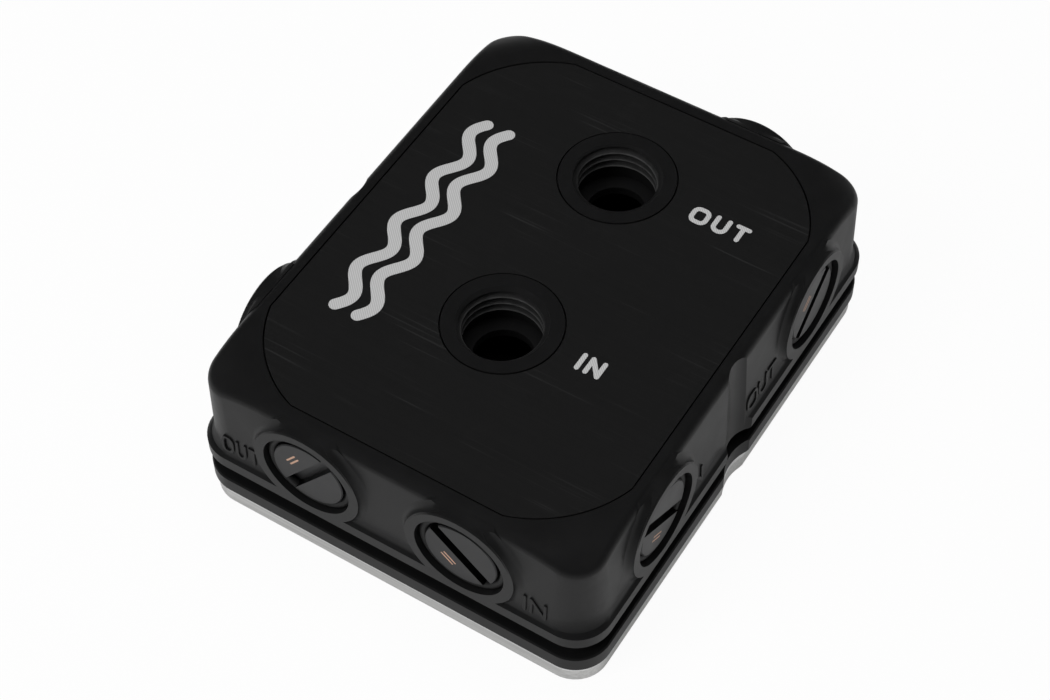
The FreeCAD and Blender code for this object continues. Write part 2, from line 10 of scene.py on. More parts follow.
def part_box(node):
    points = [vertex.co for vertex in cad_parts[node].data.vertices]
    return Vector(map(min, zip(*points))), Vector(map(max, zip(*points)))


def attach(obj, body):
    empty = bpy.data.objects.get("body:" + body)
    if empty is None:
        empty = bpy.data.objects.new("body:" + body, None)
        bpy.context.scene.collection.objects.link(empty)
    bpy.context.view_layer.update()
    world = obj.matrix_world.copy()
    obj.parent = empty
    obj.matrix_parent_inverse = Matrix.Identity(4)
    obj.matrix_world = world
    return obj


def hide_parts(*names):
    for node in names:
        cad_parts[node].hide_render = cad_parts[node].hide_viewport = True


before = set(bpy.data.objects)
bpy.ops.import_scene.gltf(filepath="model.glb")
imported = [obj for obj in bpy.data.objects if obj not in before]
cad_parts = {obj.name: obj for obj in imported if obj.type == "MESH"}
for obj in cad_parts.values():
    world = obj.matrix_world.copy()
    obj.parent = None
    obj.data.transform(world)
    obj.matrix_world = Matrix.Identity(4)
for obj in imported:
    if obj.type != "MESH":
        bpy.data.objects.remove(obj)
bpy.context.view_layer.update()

bl_info = {
    "name": "Cold plate dressing",
    "version": (1, 0, 0),
    "blender": (4, 5, 0),
    "location": "View3D > Sidebar > Cold Plate",
    "description": "Threads, lettering, seals, finishes and studio stage for a liquid cooling cold plate",
    "category": "Object",
}

MM = 0.001
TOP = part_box("top_panel")[1].z
HOUSING_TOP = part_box("housing")[1].z

# Axes of the two threaded ports on top, and the height of a crest at angle 0, just above the mouth
TOP_PORTS = (("in", 0.0, -10.2 * MM, 25.76 * MM), ("out", 0.0, 20.6 * MM, 26.16 * MM))
# Plugs round the sides: name, turn of the side about Z, place along the side, slot's angle
SIDE_PLUGS = (
    ("front_out", -90, -12.2 * MM, 53),
    ("front_in", -90, 12.2 * MM, -43),
    ("right_in", 0, -21.2 * MM, -31),
    ("right_out", 0, 21.2 * MM, 44),
    ("left_out", 180, 21.0 * MM, 18),
    ("back_out", 90, -12.3 * MM, -62),
)
# Crossing strokes of a letter lie this far under one another, so that they share no plane
STROKE_STEP = 0.003 * MM
# Painted highlight in the thread's grooves, where 1 is the painted highlight on its crests, the share of
# the thread's depth above which the crest highlight sets in, and how many mouth depths down it starts
GROOVE_HIGHLIGHT = 0.25
CREST_HIGHLIGHT_FROM = 0.8
HIGHLIGHT_STARTS_BELOW = 0.8
# The thread's rounded saw: slope, flat of its grooves and sharpness of its crests
SAW_SLOPE, SAW_FLAT, SAW_POWER = 1.14, 0.02, 1.4
# The thread piece's outer skin lies this far outside its root, and its top this far under the rim
THREAD_SKIN = 0.03 * MM
THREAD_DROP = 0.01 * MM

# The moulded wall: the height of its foot, its inset from the flange and its lean
WALL_FOOT = 11.9 * MM
WALL_INSET = 0.7 * MM
WALL_DRAFT = math.radians(2.9)
LETTER_FOOT = 12.75 * MM
# Words on the wall: piece, word, turn of the side, start along it in mm, narrowing across, and gap
# between letters in mm
WALL_WORDS = (
    ("front_out", "OUT", -90, -27.2, 0.6, 0.3),
    ("front_in", "IN", -90, 21.65, 0.95, 0.5),
    ("right_in", "IN", 0, -13.3, 0.95, 0.5),
    ("right_out", "OUT", 0, 2.9, 0.93, 0.25),
    ("left_out", "OUT", 180, 2.9, 0.93, 0.25),
    ("back_out", "OUT", 90, -2.2, 0.78, 0.25),
)
# Words on the top: word and its lower left corner
TOP_WORDS = (("OUT", 12.15 * MM, 18.9 * MM), ("IN", 12.1 * MM, -11.75 * MM))
TOP_LETTER_GAP = 0.62 * MM
# Marks go this far into what they lie on, and their crowns are rounded by a share of their relief
SINK = 0.05 * MM
INLAY_ROUND, WALL_ROUND = 0.4, 0.3

# Wave lines on the panel
WAVE_MIDDLES = (-21.3 * MM, -17.6 * MM)
WAVE_HALF_LENGTH = 19.4 * MM
WAVE_SWING = 1.25 * MM
WAVE_LENGTH = 9.7 * MM
WAVE_WIDTH = 1.9 * MM

# Bars printed on the plugs: distances from the axis, half length, width, sink, relief and rounding
BAR_OFFSETS = (2.55 * MM, 3.25 * MM)
BAR_HALF_LENGTH = 1.1 * MM
BAR_WIDTH = 0.28 * MM
BAR_SINK = 0.02 * MM
BAR_RELIEF = 0.012 * MM
BAR_ROUND = 0.004 * MM

# The housing's edges are sharp where faces meet more steeply, and its flat faces outweigh its blends
SKIN_SHARP_FROM = math.radians(32)
FLAT_FACE_WEIGHT = 80

# Patterns of the finishes, as scales of noise per metre: broad mottle on mouldings, broad streaks,
# scratches and the patches that hold them on brushed metal, and breaks in the painted highlights
MOTTLE_SCALE = 260.0
BROAD_STREAK_SCALE = 420.0
SCRATCH_SCALE = 3300.0
PATCH_SCALE = 150.0
BREAK_SCALE = 900.0
# Painted highlight under the base plate's upper edge: heights where it starts and is full
EDGE_HIGHLIGHT_FROM, EDGE_HIGHLIGHT_TO = 2.3 * MM, 2.65 * MM
# Greys of the painted highlights on the thread and under the base plate's upper edge
THREAD_HIGHLIGHT_GREY, EDGE_HIGHLIGHT_GREY = 0.07, 0.95
MARK_COLOUR = (0.6, 0.37, 0.26)
BUMP_DISTANCE = 0.02 * MM

# Share of plain white that the floor shows to the eye and to mirrors
FLOOR_SEEN, FLOOR_MIRRORED = 0.95, 0.12
FLOOR_GREY = 0.82
FLOOR_RADIUS, FLOOR_DROP = 6.0, 0.05 * MM
TENT_RADIUS = 1.8
# Heights between which the tent darkens, and its shares of the set brightness there
TENT_LOW, TENT_HIGH = 0.3, 1.55
TENT_LOW_SHARE, TENT_HIGH_SHARE = 3, 0.75
# Lamps: name, place from the aim point and size in metres, and the setting that holds the power
LAMPS = (
    ("Top", (0.0, 0.0, 1.1), 0.8, "top_power"),
    ("Key", (-0.35, -0.75, 0.75), 0.5, "key_power"),
    ("Fill", (0.95, -0.15, 0.5), 0.5, "fill_power"),
)


# ---- Properties ---------------------------------------------------------------------------------


class ColdPlateThreads(bpy.types.PropertyGroup):
    """Sizes of the pipe threads in the two top ports."""

    root: FloatProperty(name="Root radius", description="Radius at the bottom of the thread",
                        default=6.56 * MM, unit="LENGTH", precision=5)
    crest: FloatProperty(name="Crest radius", description="Radius at the tip of the thread",
                         default=5.72 * MM, unit="LENGTH", precision=5)
    pitch: FloatProperty(name="Pitch", description="Rise of the thread in one turn",
                         default=1.337 * MM, unit="LENGTH", precision=6)
    depth: FloatProperty(name="Depth", description="How far the thread goes down",
                         default=4.7 * MM, unit="LENGTH", precision=5)
    mouth: FloatProperty(name="Mouth depth", description="Depth of the cone at the mouth",
                         default=0.75 * MM, unit="LENGTH", precision=5)


class ColdPlateLettering(bpy.types.PropertyGroup):
    """Sizes of the letters beside the ports and of the inlaid strip."""

    top_height: FloatProperty(name="Top letter height", description="Height of IN and OUT on the panel",
                              default=3.1 * MM, unit="LENGTH", precision=5)
    top_stroke: FloatProperty(name="Top stroke", description="Width of the strokes on the panel",
                              default=0.72 * MM, unit="LENGTH", precision=5)
    wall_height: FloatProperty(name="Wall letter height", description="Height of the moulded letters",
                               default=3.45 * MM, unit="LENGTH", precision=5)
    wall_stroke: FloatProperty(name="Wall stroke", description="Width of the moulded strokes",
                               default=0.5 * MM, unit="LENGTH", precision=5)
    wall_raise: FloatProperty(name="Wall relief", description="How far moulded letters stand out",
                              default=0.22 * MM, unit="LENGTH", precision=5)
    inlay_raise: FloatProperty(name="Inlay relief", description="How far silver inlays stand out",
                               default=0.04 * MM, unit="LENGTH", precision=6)


class ColdPlateFinish(bpy.types.PropertyGroup):
    """Colours of the finishes."""

    plastic: FloatVectorProperty(name="Moulded body", description="Glass-filled black plastic",
                                 subtype="COLOR", size=3, default=(0.0085, 0.0085, 0.0087))
    panel: FloatVectorProperty(name="Top panel", description="Black anodised brushed aluminium",
                               subtype="COLOR", size=3, default=(0.0102, 0.0102, 0.0103))
    silver: FloatVectorProperty(name="Inlays", description="Satin silver of letters and strip",
                                subtype="COLOR", size=3, default=(0.52, 0.52, 0.52))
    nickel: FloatVectorProperty(name="Base plate", description="Nickel plating on copper",
                                subtype="COLOR", size=3, default=(0.66, 0.658, 0.65))
    plug: FloatVectorProperty(name="Plugs", description="Black nickel on brass",
                              subtype="COLOR", size=3, default=(0.05, 0.05, 0.051))
    rubber: FloatVectorProperty(name="Seals", description="Black sealing rubber",
                                subtype="COLOR", size=3, default=(0.012, 0.012, 0.012))


class ColdPlateStage(bpy.types.PropertyGroup):
    """Camera and light."""

    azimuth: FloatProperty(name="Camera azimuth", description="Camera's turn from the front",
                           subtype="ANGLE", default=math.radians(32.58))
    elevation: FloatProperty(name="Camera elevation", description="Camera's angle above the floor",
                             subtype="ANGLE", default=math.radians(52.97))
    roll: FloatProperty(name="Camera roll", description="Turn about the view direction",
                        subtype="ANGLE", default=math.radians(-0.867))
    distance: FloatProperty(name="Camera distance", description="From the aim point to the camera",
                            default=330.4 * MM, unit="LENGTH", precision=4)
    aim: FloatVectorProperty(name="Aim point", description="Point in the middle of the view",
                             subtype="XYZ", size=3, default=(-0.89 * MM, -3.23 * MM, 12.0 * MM))
    lens: FloatProperty(name="Focal length", description="For a sensor 36 mm wide", default=79.3)
    top_power: FloatProperty(name="Top light", description="Power of the overhead soft light in watts",
                             default=7.0)
    key_power: FloatProperty(name="Key light", description="Power of the large front light in watts",
                             default=6.0)
    fill_power: FloatProperty(name="Side light", description="Power of the weaker side light in watts",
                              default=0.5)
    room: FloatProperty(name="Room light", description="Strength of the light from all round", default=0.8)
    tent: FloatProperty(name="Tent", description="Brightness of the dark tent over the object",
                        default=0.12)


# ---- Mesh helpers -------------------------------------------------------------------------------


def new_piece(name, points, faces, material, smooth_angle=40.0):
    """Object at the origin from arrays of points and faces, smooth except where faces meet more steeply."""
    mesh = bpy.data.meshes.new(name)
    mesh.from_pydata(np.asarray(points, float).tolist(), [], [list(map(int, f)) for f in faces])
    mesh.validate()
    mesh.shade_smooth()
    mesh.set_sharp_from_angle(angle=math.radians(smooth_angle))
    piece = bpy.data.objects.new(name, mesh)
    bpy.context.scene.collection.objects.link(piece)
    mesh.materials.append(material)
    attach(piece, "root")
    return piece


def ring_faces(rings, around):
    """Quads between neighbouring closed rings of points, the last ring joined to the first.

    Point (i, j) has the number i * around + j. The quad at (i, j) joins it to the next ring and the
    next place round, both counted modulo their numbers, so the surface closes like a tube's skin."""
    i, j = np.meshgrid(np.arange(rings), np.arange(around), indexing="ij")
    i2 = (i + 1) % rings
    j2 = (j + 1) % around
    quads = np.stack([i * around + j, i * around + j2, i2 * around + j2, i2 * around + j], -1)
    return quads.reshape(-1, 4)


def thread_ring(x, y, top, crest_height, sizes, around=128, rows=150):
    """Closed ring whose inner skin is a right-hand thread.

    The inner radius at angle a and height z is the root radius less the thread depth times a
    rounded saw of ((z - crest_height) / pitch - a / 2 pi): 1 at a crest, 0 midway between crests.
    Near the mouth the radius is never less than a cone that opens to the root at the top face, and
    the lowest part runs out into a plain bore. The outer skin is a cylinder inside the housing.
    The painted highlight is a small share in the grooves and rises to 1 over the last fifth of the way to a
    crest, and it fades out towards the mouth."""
    angle = np.linspace(0, 2 * math.pi, around, endpoint=False)
    z = np.linspace(top - sizes.depth, top, rows)
    zz, aa = np.meshgrid(z, angle, indexing="ij")
    phase = (zz - crest_height) / sizes.pitch - aa / (2 * math.pi)
    away = np.abs(phase - np.round(phase)) * 2
    form = np.clip(SAW_SLOPE * (1 - away) - SAW_FLAT, 0, 1) ** SAW_POWER
    radius = sizes.root - (sizes.root - sizes.crest) * form
    cone = sizes.root - (sizes.root - sizes.crest) * (top - zz) / sizes.mouth
    radius = np.where(zz > top - sizes.mouth, np.maximum(radius, cone), radius)
    inner = np.stack([x + radius * np.cos(aa), y + radius * np.sin(aa), zz], -1)
    skin = sizes.root + THREAD_SKIN
    ends = [np.stack([x + skin * np.cos(angle), y + skin * np.sin(angle), np.full_like(angle, height)], -1)
            for height in (top, top - sizes.depth)]
    points = np.concatenate([inner, ends]).reshape(-1, 3)
    # Painted highlight on the thread: a small share in the grooves, full on the crests, fading in below the
    # mouth
    inwards = (sizes.root - radius) / (sizes.root - sizes.crest)
    crest = np.clip((inwards - CREST_HIGHLIGHT_FROM) / (1 - CREST_HIGHLIGHT_FROM), 0, 1)
    below = np.clip((top - zz) / sizes.mouth - HIGHLIGHT_STARTS_BELOW, 0, 1)
    worn = np.concatenate([(below * (GROOVE_HIGHLIGHT + (1 - GROOVE_HIGHLIGHT) * crest)).ravel(),
                           np.zeros(2 * around)])
    faces = ring_faces(rows + 2, around)[:, ::-1]
    return points, faces, worn


def torus(radius, tube, around=112, across=24):
    """Torus about the X axis: at angles a and b the distance from the axis is radius + tube cos b,
    and the height along the axis is tube sin b."""
    a = np.linspace(0, 2 * math.pi, around, endpoint=False)
    b = np.linspace(0, 2 * math.pi, across, endpoint=False)
    aa, bb = np.meshgrid(a, b, indexing="ij")
    out = radius + tube * np.cos(bb)
    points = np.stack([tube * np.sin(bb), out * np.cos(aa), out * np.sin(aa)], -1).reshape(-1, 3)
    return points, ring_faces(around, across)


def turn_about_z(points, degrees):
    """Points turned about the Z axis: (x cos t - y sin t, x sin t + y cos t)."""
    c, s = math.cos(math.radians(degrees)), math.sin(math.radians(degrees))
    x, y, z = np.asarray(points).T
    return np.stack([x * c - y * s, x * s + y * c, z], -1)


def arc(cx, cy, rx, ry, start, end, steps=14):
    """Points on an ellipse's arc: centre plus (rx cos t, ry sin t) for t from start to end, in degrees."""
    t = np.radians(np.linspace(start, end, steps))
    return np.stack([cx + rx * np.cos(t), cy + ry * np.sin(t)], -1)


def stroke_plate(path, width, closed=False, cap=10):
    """Flat plate along a path, in its own plane: points moved half the width to each side of the
    path, square to the direction through the neighbouring points, with half circles on open ends.
    Returns the left and the right row of its outline."""
    path = np.asarray(path, float)
    half = width / 2
    if closed:
        ahead = np.roll(path, -1, 0) - np.roll(path, 1, 0)
        along = ahead / np.linalg.norm(ahead, axis=1)[:, None]
        normal = np.stack([-along[:, 1], along[:, 0]], -1)
        return path + normal * half, path - normal * half
    along = np.gradient(path, axis=0)
    along /= np.linalg.norm(along, axis=1)[:, None]
    normal = np.stack([-along[:, 1], along[:, 0]], -1)
    t = np.linspace(0, math.pi / 2, cap)
    first = path[0] - along[0] * half * np.cos(t)[:, None]
    last = path[-1] + along[-1] * half * np.sin(t)[:, None]
    rows = [np.concatenate([first + side * normal[0] * half * np.sin(t)[:, None],
                            path[1:-1] + side * normal[1:-1] * half,
                            last + side * normal[-1] * half * np.cos(t)[:, None]]) for side in (1, -1)]
    return rows[0], rows[1]


def raised_strokes(strokes, width, place, low, high, round_over):
    """Raised strokes: each is a closed skin of six rows (foot, shoulder and crown of each side) whose
    crown is pulled in by round_over. Each stroke's face lies a hair under the one before, so that
    crossing strokes share no plane. place(u, v, w) puts plane coordinates and height into space."""
    points = []
    faces = []
    count = 0
    for number, (path, closed) in enumerate(strokes):
        foot = stroke_plate(path, width, closed)
        crown = stroke_plate(path, width - 2 * round_over, closed)
        length = len(foot[0])
        top = high - number * STROKE_STEP
        rows = [(foot[0], low), (foot[0], top - round_over), (crown[0], top),
                (crown[1], top), (foot[1], top - round_over), (foot[1], low)]
        block = np.stack([place(side[:, 0], side[:, 1], np.full(length, height)) for side, height in rows])
        points.append(block.reshape(-1, 3))
        quads = ring_faces(len(rows), length).reshape(len(rows), length, 4)
        if not closed:
            quads = quads[:, :-1]
        faces.append(quads.reshape(-1, 4) + count)
        count += len(rows) * length
    return np.concatenate(points), np.concatenate(faces)


def close_and_turn_out(piece):
    """Merge doubled points, drop faces that have shrunk to nothing and point every face outwards."""
    shape = bmesh.new()
    shape.from_mesh(piece.data)
    bmesh.ops.remove_doubles(shape, verts=shape.verts, dist=1e-7)
    bmesh.ops.dissolve_degenerate(shape, edges=shape.edges, dist=1e-8)
    bmesh.ops.recalc_face_normals(shape, faces=shape.faces)
    shape.to_mesh(piece.data)
    shape.free()
    piece.data.update()


def smooth_copy(node, name, material):
    """Merged copy of a CAD node, smooth over its curved faces, sharp at its real edges, standing for it."""
    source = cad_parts[node]
    mesh = source.data.copy()
    mesh.name = name
    shape = bmesh.new()
    shape.from_mesh(mesh)
    bmesh.ops.remove_doubles(shape, verts=shape.verts, dist=2e-6)
    shape.to_mesh(mesh)
    shape.free()
    if "custom_normal" in mesh.attributes:
        mesh.attributes.remove(mesh.attributes["custom_normal"])
    mesh.shade_smooth()
    mesh.set_sharp_from_angle(angle=SKIN_SHARP_FROM)
    mesh.materials.clear()
    mesh.materials.append(material)
    piece = bpy.data.objects.new(name, mesh)
    bpy.context.scene.collection.objects.link(piece)
    weighted = piece.modifiers.new("Flat faces stay flat", "WEIGHTED_NORMAL")
    weighted.keep_sharp = True
    weighted.weight = FLAT_FACE_WEIGHT
    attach(piece, "root")
    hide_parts(node)
    return piece


# ---- Letters: strokes in units of the letter height, origin at the lower left --------------------


def letter_strokes(letter):
    """Strokes of one letter as (path, closed) and the letter's width, for centre lines 1 unit high."""
    rise = np.linspace(0, 1, 8)[:, None]
    up = rise * (0.0, 1.0)
    if letter == "I":
        return [(np.array([[0.0, 0.0], [0.0, 0.5], [0.0, 1.0]]), False)], 0.0
    if letter == "N":
        return [(up, False), (rise * (0.76, -1.0) + (0.0, 1.0), False), (up + (0.76, 0.0), False)], 0.76
    if letter == "T":
        return [(rise * (0.72, 0.0) + (0.0, 1.0), False), (up + (0.36, 0.0), False)], 0.72
    if letter == "U":
        left = np.array([[0.0, 1.0], [0.0, 0.7], [0.0, 0.4]])
        right = left[::-1] + np.array([0.76, 0.0])
        return [(np.concatenate([left, arc(0.38, 0.34, 0.38, 0.34, 180, 360, 25), right]), False)], 0.76
    if letter == "O":
        parts = [arc(0.6, 0.66, 0.32, 0.34, 0, 90), arc(0.32, 0.66, 0.32, 0.34, 90, 180),
                 arc(0.32, 0.34, 0.32, 0.34, 180, 270), arc(0.6, 0.34, 0.32, 0.34, 270, 360)]
        return [(np.concatenate(parts), True)], 0.92
    raise ValueError(f"no strokes for the letter {letter}")


def word_strokes(word, height, stroke, gap, narrow=1.0):
    """Strokes of a word: letters side by side, scaled so that the outline is as high as asked, and
    narrowed across by a factor."""
    strokes = []
    pen = 0.0
    scale = height - stroke
    for letter in word:
        paths, width = letter_strokes(letter)
        for path, closed in paths:
            strokes.append((path * (scale * narrow, scale) + (pen + stroke / 2, stroke / 2), closed))
        pen += width * scale * narrow + stroke + gap
    return strokes


def flat_place(x, y):
    """Place for marks that lie on the top: u runs across, v runs back, w is the height."""
    return lambda u, v, w: np.stack([x + u, y + v, w], -1)


def face_place(turn, start, height):
    """Place for marks on an upright face: u runs to the right seen from outside, v runs up, and w is
    the distance from the middle of the object."""
    return lambda u, v, w: turn_about_z(np.stack([w, start + u, height + v], -1), turn)


def wall_place(turn, side, start):
    """Place for marks on a drafted wall: u runs to the right seen from outside, v runs up the wall,
    w stands out from it. The wall leans in by the draft from side at the height of its foot."""
    def put(u, v, w):
        up = LETTER_FOOT + v * math.cos(WALL_DRAFT)
        height = up + w * math.sin(WALL_DRAFT)
        depth = side - (up - WALL_FOOT) * math.tan(WALL_DRAFT) + w * math.cos(WALL_DRAFT)
        return turn_about_z(np.stack([depth, start + u, height], -1), turn)

    return put


# ---- Materials ----------------------------------------------------------------------------------


def math_node(tree, operation, *values):
    """Output of a Math node whose inputs are given in order, as sockets or numbers."""
    node = tree.nodes.new("ShaderNodeMath")
    node.operation = operation
    for socket, value in zip(node.inputs, values):
        if isinstance(value, bpy.types.NodeSocket):
            tree.links.new(value, socket)
        else:
            socket.default_value = value
    return node.outputs[0]


def link_noise(group, source, scale, detail, stretch=None):
    """Noise on the group's vector, stretched if asked. A scale given as a name is read from that input."""
    noise = group.nodes.new("ShaderNodeTexNoise")
    noise.inputs["Detail"].default_value = detail
    vector = source.outputs["Vector"]
    if stretch is not None:
        mapping = group.nodes.new("ShaderNodeMapping")
        mapping.inputs["Scale"].default_value = stretch
        group.links.new(vector, mapping.inputs["Vector"])
        vector = mapping.outputs["Vector"]
    group.links.new(vector, noise.inputs["Vector"])
    if isinstance(scale, str):
        group.links.new(source.outputs[scale], noise.inputs["Scale"])
    else:
        noise.inputs["Scale"].default_value = scale
    return noise.outputs["Fac"]


def map_range(tree, value, low, high, start=0.25, end=0.75):
    """Map a value onto a range, so that start gives low and end gives high, and hold it there. The
    default start and end are where most of a noise lies."""
    node = tree.nodes.new("ShaderNodeMapRange")
    for label, number in (("From Min", start), ("From Max", end), ("To Min", low), ("To Max", high)):
        node.inputs[label].default_value = number
    tree.links.new(value, node.inputs["Value"])
    return node.outputs["Result"]


def height_above(tree, where, low, high, start, end):
    """Map the height of a point in the Object coordinates of a Texture Coordinate node onto a range."""
    split = tree.nodes.new("ShaderNodeSeparateXYZ")
    tree.links.new(where.outputs["Object"], split.inputs["Vector"])
    return map_range(tree, split.outputs["Z"], low, high, start, end)


def tint(group, colour_socket, value_socket):
    """Colour multiplied by a grey value."""
    node = group.nodes.new("ShaderNodeVectorMath")
    node.operation = "SCALE"
    group.links.new(colour_socket, node.inputs[0])
    group.links.new(value_socket, node.inputs["Scale"])
    return node.outputs["Vector"]


def swing(group, source, value, amount):
    """1 plus or minus the amount that an input of the group gives, as a 0 to 1 value varies."""
    return math_node(group, "MULTIPLY_ADD", map_range(group, value, -1.0, 1.0), source.outputs[amount], 1.0)


def finish_group(name, extra, build):
    """Shader node group of a finish, made once. It takes Vector, Colour and the extra inputs. build
    gets the group and its input node and returns the value of each output by name."""
    if name in bpy.data.node_groups:
        return bpy.data.node_groups[name]
    group = bpy.data.node_groups.new(name, "ShaderNodeTree")
    inputs = [("Vector", "NodeSocketVector", None), ("Colour", "NodeSocketColor", (0.5, 0.5, 0.5, 1))]
    for label, kind, value in inputs + extra:
        socket = group.interface.new_socket(name=label, in_out="INPUT", socket_type=kind)
        if value is not None:
            socket.default_value = value
    results = build(group, group.nodes.new("NodeGroupInput"))
    end = group.nodes.new("NodeGroupOutput")
    for label, value in results.items():
        kind = "NodeSocketColor" if label == "Colour" else "NodeSocketFloat"
        group.interface.new_socket(name=label, in_out="OUTPUT", socket_type=kind)
        group.links.new(value, end.inputs[label])
    return group


def grain_group():
    """Fine moulded or blasted grain: mottled colour, uneven roughness and a pebbled height."""
    def build(group, source):
        fine = link_noise(group, source, "Grain", 2.0)
        broad = link_noise(group, source, MOTTLE_SCALE, 3.0)
        return {
            "Colour": tint(group, source.outputs["Colour"], swing(group, source, broad, "Mottle")),
            "Roughness": math_node(group, "MULTIPLY", source.outputs["Roughness"],
                                   map_range(group, broad, 0.92, 1.08)),
            "Height": fine}

    return finish_group("Fine grain", [("Roughness", "NodeSocketFloat", 0.5),
                                       ("Grain", "NodeSocketFloat", 9000.0),
                                       ("Mottle", "NodeSocketFloat", 0.12)], build)


def brushed_group():
    """Brushed or drawn metal: long fine streaks along one direction in colour, roughness and height,
    and sparse longer scratches in patches."""
    def build(group, source):
        fine = link_noise(group, source, "Streaks", 3.0, (0.012, 1.0, 1.0))
        broad = link_noise(group, source, BROAD_STREAK_SCALE, 2.0, (0.05, 1.0, 1.0))
        lines = link_noise(group, source, SCRATCH_SCALE, 0.0, (0.02, 1.0, 1.0))
        patches = link_noise(group, source, PATCH_SCALE, 1.0, (0.6, 1.0, 1.0))
        scratches = math_node(group, "MULTIPLY", map_range(group, lines, 0.0, 1.0, 0.66, 0.8),
                              map_range(group, patches, 0.0, 1.0, 0.45, 0.65))
        tone = math_node(group, "MULTIPLY_ADD", scratches, source.outputs["Scratches"],
                         swing(group, source, fine, "Contrast"))
        return {
            "Colour": tint(group, source.outputs["Colour"], tone),
            "Roughness": math_node(group, "MULTIPLY", source.outputs["Roughness"],
                                   map_range(group, broad, 0.9, 1.1)),
            "Height": fine}

    return finish_group("Brushed streaks", [("Roughness", "NodeSocketFloat", 0.4),
                                            ("Streaks", "NodeSocketFloat", 5000.0),
                                            ("Contrast", "NodeSocketFloat", 0.2),
                                            ("Scratches", "NodeSocketFloat", 0.0)], build)


def hatch_group():
    """Fine diagonal hatching, as on satin inlays: stripes of two tones with a shallow height."""
    def build(group, source):
        wave = group.nodes.new("ShaderNodeTexWave")
        wave.wave_type = "BANDS"
        wave.bands_direction = "DIAGONAL"
        wave.inputs["Distortion"].default_value = 0.0
        group.links.new(source.outputs["Vector"], wave.inputs["Vector"])
        group.links.new(source.outputs["Spacing"], wave.inputs["Scale"])
        tone = swing(group, source, wave.outputs["Fac"], "Contrast")
        return {"Colour": tint(group, source.outputs["Colour"], tone), "Height": wave.outputs["Fac"]}

    return finish_group("Diagonal hatch", [("Spacing", "NodeSocketFloat", 2400.0),
                                           ("Contrast", "NodeSocketFloat", 0.15)], build)


def painted_highlight_group():
    """Painted highlights: mixes a lighter second colour in by a mask, broken up by a fine noise."""
    def build(group, source):
        # The painted highlight is broken up by a fine noise
        breaks = map_range(group, link_noise(group, source, BREAK_SCALE, 2.0), 0.45, 1.0)
        mix = group.nodes.new("ShaderNodeMix")
        mix.data_type = "RGBA"
        group.links.new(math_node(group, "MULTIPLY", breaks, source.outputs["Mask"]), mix.inputs["Factor"])
        group.links.new(source.outputs["Colour"], mix.inputs["A"])
        group.links.new(source.outputs["Worn colour"], mix.inputs["B"])
        return {"Colour": mix.outputs["Result"]}

    return finish_group("Worn edges", [("Worn colour", "NodeSocketColor", (0.5, 0.5, 0.5, 1)),
                                       ("Mask", "NodeSocketFloat", 0.0)], build)


def new_material(name, group, settings, colour, metallic=0.0, specular=0.5, roughness=None, bump=0.1):
    """Material on Object coordinates: a finish group feeds the shader's colour, roughness and bump."""
    if name in bpy.data.materials:
        return bpy.data.materials[name]
    material = bpy.data.materials.new(name)
    material.use_nodes = True
    tree = material.node_tree
    shader = next(node for node in tree.nodes if node.type == "BSDF_PRINCIPLED")
    shader.inputs["Metallic"].default_value = metallic
    shader.inputs["Specular IOR Level"].default_value = specular
    where = tree.nodes.new("ShaderNodeTexCoord")
    finish = tree.nodes.new("ShaderNodeGroup")
    finish.node_tree = group
    tree.links.new(where.outputs["Object"], finish.inputs["Vector"])
    finish.inputs["Colour"].default_value = (*colour, 1)
    for label, value in settings.items():
        finish.inputs[label].default_value = value
    tree.links.new(finish.outputs["Colour"], shader.inputs["Base Color"])
    if "Roughness" in finish.outputs:
        tree.links.new(finish.outputs["Roughness"], shader.inputs["Roughness"])
    else:
        shader.inputs["Roughness"].default_value = roughness
    relief = tree.nodes.new("ShaderNodeBump")
    relief.inputs["Strength"].default_value = bump
    relief.inputs["Distance"].default_value = BUMP_DISTANCE
    tree.links.new(finish.outputs["Height"], relief.inputs["Height"])
    tree.links.new(relief.outputs["Normal"], shader.inputs["Normal"])
    material.diffuse_color = (*colour, 1)
    return material


def plastic_material(name="Moulded black plastic", bump=0.12):
    """Black glass-filled plastic with a fine moulded grain."""
    colours = bpy.context.scene.cold_plate_finish
    return new_material(name, grain_group(), {"Roughness": 0.38, "Grain": 5200.0, "Mottle": 0.1},
                        colours.plastic, specular=0.2, bump=bump)


def add_painted_highlight(material, highlight_grey, mask):
    """Put the painted-highlight group between a material's finish and its shader's colour."""
    tree = material.node_tree
    shader = next(node for node in tree.nodes if node.type == "BSDF_PRINCIPLED")
    where = next(node for node in tree.nodes if node.type == "TEX_COORD")
    finish = shader.inputs["Base Color"].links[0].from_socket
    # Painted highlight: a lighter grey mixed into the colour where the mask is set
    highlight_layer = tree.nodes.new("ShaderNodeGroup")
    highlight_layer.node_tree = painted_highlight_group()
    highlight_layer.inputs["Worn colour"].default_value = (highlight_grey, highlight_grey, highlight_grey, 1)
    tree.links.new(where.outputs["Object"], highlight_layer.inputs["Vector"])
    tree.links.new(finish, highlight_layer.inputs["Colour"])
    tree.links.new(mask, highlight_layer.inputs["Mask"])
    tree.links.new(highlight_layer.outputs["Colour"], shader.inputs["Base Color"])


def thread_material():
    """Moulded plastic with a painted highlight in the threads, strongest on their crests."""
    name = "Threaded black plastic"
    if name in bpy.data.materials:
        return bpy.data.materials[name]
    material = plastic_material(name, 0.06)
    # Painted highlight on the thread, read from the points' attribute
    worn = material.node_tree.nodes.new("ShaderNodeAttribute")
    worn.attribute_name = "worn"
    add_painted_highlight(material, THREAD_HIGHLIGHT_GREY, worn.outputs["Fac"])
    return material


